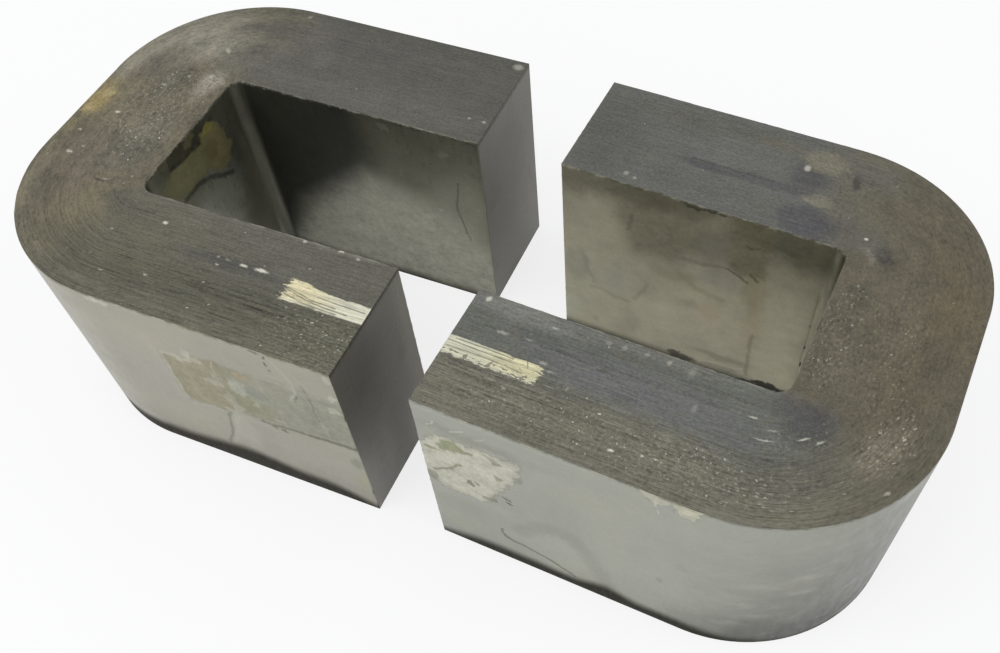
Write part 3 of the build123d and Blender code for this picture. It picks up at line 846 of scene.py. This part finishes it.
def edgeRelief(run, offset, seed):
    # how far the ribbon edges lie below the nominal face
    slow = noise.noise(Vector((run * 0.03 + seed, offset * 1.1, seed)))
    quick = noise.noise(Vector((run * 0.12 + seed, offset * 2.6, seed + 5)))
    ridge = bar["ridge"] * (0.5 + 0.5 * (0.4 * slow + 0.9 * quick))
    parted = max(0.5 + 0.5 * noise.noise(Vector((run * 0.05, offset * 0.3, seed + 9))), 0.0)
    return max(ridge, 0.0) + bar["dip"] * jointDip(offset) * parted


def faceRelief(run, height, seed, sunk, swells):
    # how far a ribbon face lies below its nominal place
    wave = noise.noise(Vector((run * 0.05, height * 0.06, seed))) * 0.5
    depth = sunk * (1 - wave)
    for at, half, lift in swells:
        reach = max(abs(run - at[0]) / half[0], abs(height - at[1]) / half[1])
        depth -= lift * min(max((1.12 - reach) / 0.12, 0.0), 1.0)
    return max(depth, 0.0)


def makeHalf(name, node, toPlace, frontFirst, seed, swells, finishes):
    steel = bmesh.new()
    bmesh.ops.create_cube(steel, size=1.0, matrix=Matrix.Translation((0.5, 0.5, 0.5)))
    rows = bar["rows"]
    for axis in range(3):
        edges = [e for e in steel.edges if abs(e.verts[0].co[axis] - e.verts[1].co[axis]) > 0.9]
        bmesh.ops.subdivide_edges(steel, edges=edges, cuts=rows[axis] - 1, use_grid_fill=True)
    for face in steel.faces:
        middle = face.calc_center_median()
        flush = [min(value, 1 - value) < 1e-5 for value in middle]
        # the finishes in their order: ribbon edges, cut faces, outer skin and inner wall
        face.material_index = 0 if flush[2] else 1 if flush[0] else 2 if middle.y > 0.5 else 3
        face.smooth = True
    turnPlace = steel.verts.layers.float_vector.new("turnPlace")
    sizes = (fullRun, winding["buildUp"], winding["ribbonWidth"])
    for vert in steel.verts:
        run, offset, height = (rowPlace(vert.co[i], rows[i], sizes[i]) for i in range(3))
        vert[turnPlace] = Vector((run, offset, height))
        onTop, onBase = height == sizes[2], height == 0.0
        onOuter, onInner = offset == sizes[1], offset == 0.0
        onCut = run in (0.0, sizes[0])
        wear = bar["wear"] * (0.6 + 0.9 * noise.noise(Vector((run * 0.9, offset * 3.4, height * 0.9 + seed))))
        if onCut and onOuter:
            wear += bar["chip"] * max(noise.noise(Vector((height * 0.5, seed, run))), 0.0)
        worn = max(wear * (0.25 if onBase else 1.0), 0.02)
        worn = worn if (onTop + onBase + (onOuter or onInner) + onCut) > 1 else 0.0
        standing = onBase and (onOuter or onInner)        # the edges that the half stands on
        place = (run, height, seed)
        if onTop:
            height -= edgeRelief(run, offset, seed) + worn
        if onBase and not standing:
            height += edgeRelief(run, offset, seed + 40) + worn
        if onInner:
            offset += worn + faceRelief(*place, bar["sunk"]["inner"], swells["inner"])
        if onOuter:
            offset -= worn + faceRelief(*place, bar["sunk"]["outer"], swells["outer"])
        if onCut:
            run += worn if run == 0.0 else -worn
        x, y = woundPlace(run, offset)
        vert.co = toPlace @ Vector((x * mm, y * mm if frontFirst else -y * mm, height * mm))
    mesh = bpy.data.meshes.new(name)
    bmesh.ops.recalc_face_normals(steel, faces=steel.faces)
    steel.to_mesh(mesh)
    steel.free()
    mesh.set_sharp_from_angle(angle=math.radians(38))
    for material in finishes:
        mesh.materials.append(material)
    half = bpy.data.objects.new(name, mesh)
    bpy.context.scene.collection.objects.link(half)
    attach(half, "root")
    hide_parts(node)
    print("wound", name, len(mesh.polygons), "faces")


toCut = Matrix.Translation(cutPlane)
leftPlace = toCut @ Matrix.Rotation(math.pi, 4, "Z")
rightPlace = (toCut @ Matrix.Translation(Vector((pair["airGap"], pair["rightOffset"], 0)) * mm)
              @ Matrix.Rotation(math.radians(pair["rightTurn"]), 4, "Z"))
makeHalf("leftCore", "left_core_half", leftPlace, False, 1.0, leftSwell, [
    ribbonEdges("leftEdges", leftTop), cutFace("leftCut", leftCut),
    ribbonFace("leftSkin", leftSkin), ribbonFace("leftWall", leftWall)])
makeHalf("rightCore", "right_core_half", rightPlace, True, 70.0, rightSwell, [
    ribbonEdges("rightEdges", rightTop), cutFace("rightCut", rightCut),
    ribbonFace("rightSkin", rightSkin), ribbonFace("rightWall", rightWall)])


# Floor and light: white paper under soft boxes
studio = {
    "floorSize": 3.0, "floor": 0.86, "glow": 0.78, "shine": 0.55,
    "sky": (0.96, 0.98, 1.0), "skyStrength": 0.70,
}
lamps = {
    "key": {"place": (-0.30, -0.35, 0.60), "size": 0.5, "power": 2.2},
    "fill": {"place": (0.55, 0.10, 0.35), "size": 0.5, "power": 0.95},
}
paper = Finish("paper")
ray = paper.node("ShaderNodeLightPath", {}, {}, "Is Camera Ray")
shine = Wire(paper, ray.socket.node.outputs["Is Glossy Ray"])
matt = paper.node("ShaderNodeBsdfDiffuse", {}, {"Color": (*(studio["floor"],) * 3, 1.0)})
glow = paper.node("ShaderNodeEmission", {}, {"Strength": 1.0})
seen = (ray * studio["glow"]).larger(shine * studio["shine"])
both = paper.node("ShaderNodeMixShader", {}, {0: seen, 1: matt, 2: glow})
paper.node("ShaderNodeOutputMaterial", {}, {"Surface": both}, None)

sheet = bmesh.new()
bmesh.ops.create_grid(sheet, x_segments=1, y_segments=1, size=studio["floorSize"])
floorMesh = bpy.data.meshes.new("floor")
sheet.to_mesh(floorMesh)
sheet.free()
floorMesh.materials.append(paper.material)
floor = bpy.data.objects.new("floor", floorMesh)
bpy.context.scene.collection.objects.link(floor)

world = bpy.data.worlds.new("studio")
bpy.context.scene.world = world
world.use_nodes = True
tree = world.node_tree
sky = tree.nodes["Background"]
sky.inputs["Color"].default_value = (*studio["sky"], 1)
sky.inputs["Strength"].default_value = studio["skyStrength"]
white = tree.nodes.new("ShaderNodeBackground")
path = tree.nodes.new("ShaderNodeLightPath")
choice = tree.nodes.new("ShaderNodeMixShader")
tree.links.new(path.outputs["Is Camera Ray"], choice.inputs[0])
tree.links.new(sky.outputs[0], choice.inputs[1])
tree.links.new(white.outputs[0], choice.inputs[2])
tree.links.new(choice.outputs[0], tree.nodes["World Output"].inputs["Surface"])

for name, lamp in lamps.items():
    box = bpy.data.lights.new(name, "AREA")
    box.shape = "SQUARE"
    box.size = lamp["size"]
    box.energy = lamp["power"]
    stand = bpy.data.objects.new(name, box)
    stand.location = Vector(lamp["place"])
    stand.rotation_euler = (-stand.location).to_track_quat("-Z", "Y").to_euler()
    bpy.context.scene.collection.objects.link(stand)

# Camera, placed from the left half's cut faces
shot = {
    "place": (55.85, -85.27, 133.59), "aim": (24.02, -21.46, 17.5),
    "roll": -4.40, "lens": 35.72, "shiftX": -0.045, "shiftY": 0.12,
}
lens = bpy.data.cameras.new("camera")
lens.lens = shot["lens"]
lens.sensor_width = 36.0
lens.shift_x = shot["shiftX"]
lens.shift_y = shot["shiftY"]
lens.clip_start = 0.005
camera = bpy.data.objects.new("camera", lens)
camera.location = cutPlane + Vector(shot["place"]) * mm
look = (Vector(shot["aim"]) - Vector(shot["place"])).to_track_quat("-Z", "Y")
camera.rotation_mode = "QUATERNION"
camera.rotation_quaternion = look @ Quaternion((0, 0, 1), math.radians(shot["roll"]))
bpy.context.scene.collection.objects.link(camera)
bpy.context.scene.camera = camera
bpy.context.scene.view_settings.view_transform = "Standard"
print("camera and light set")
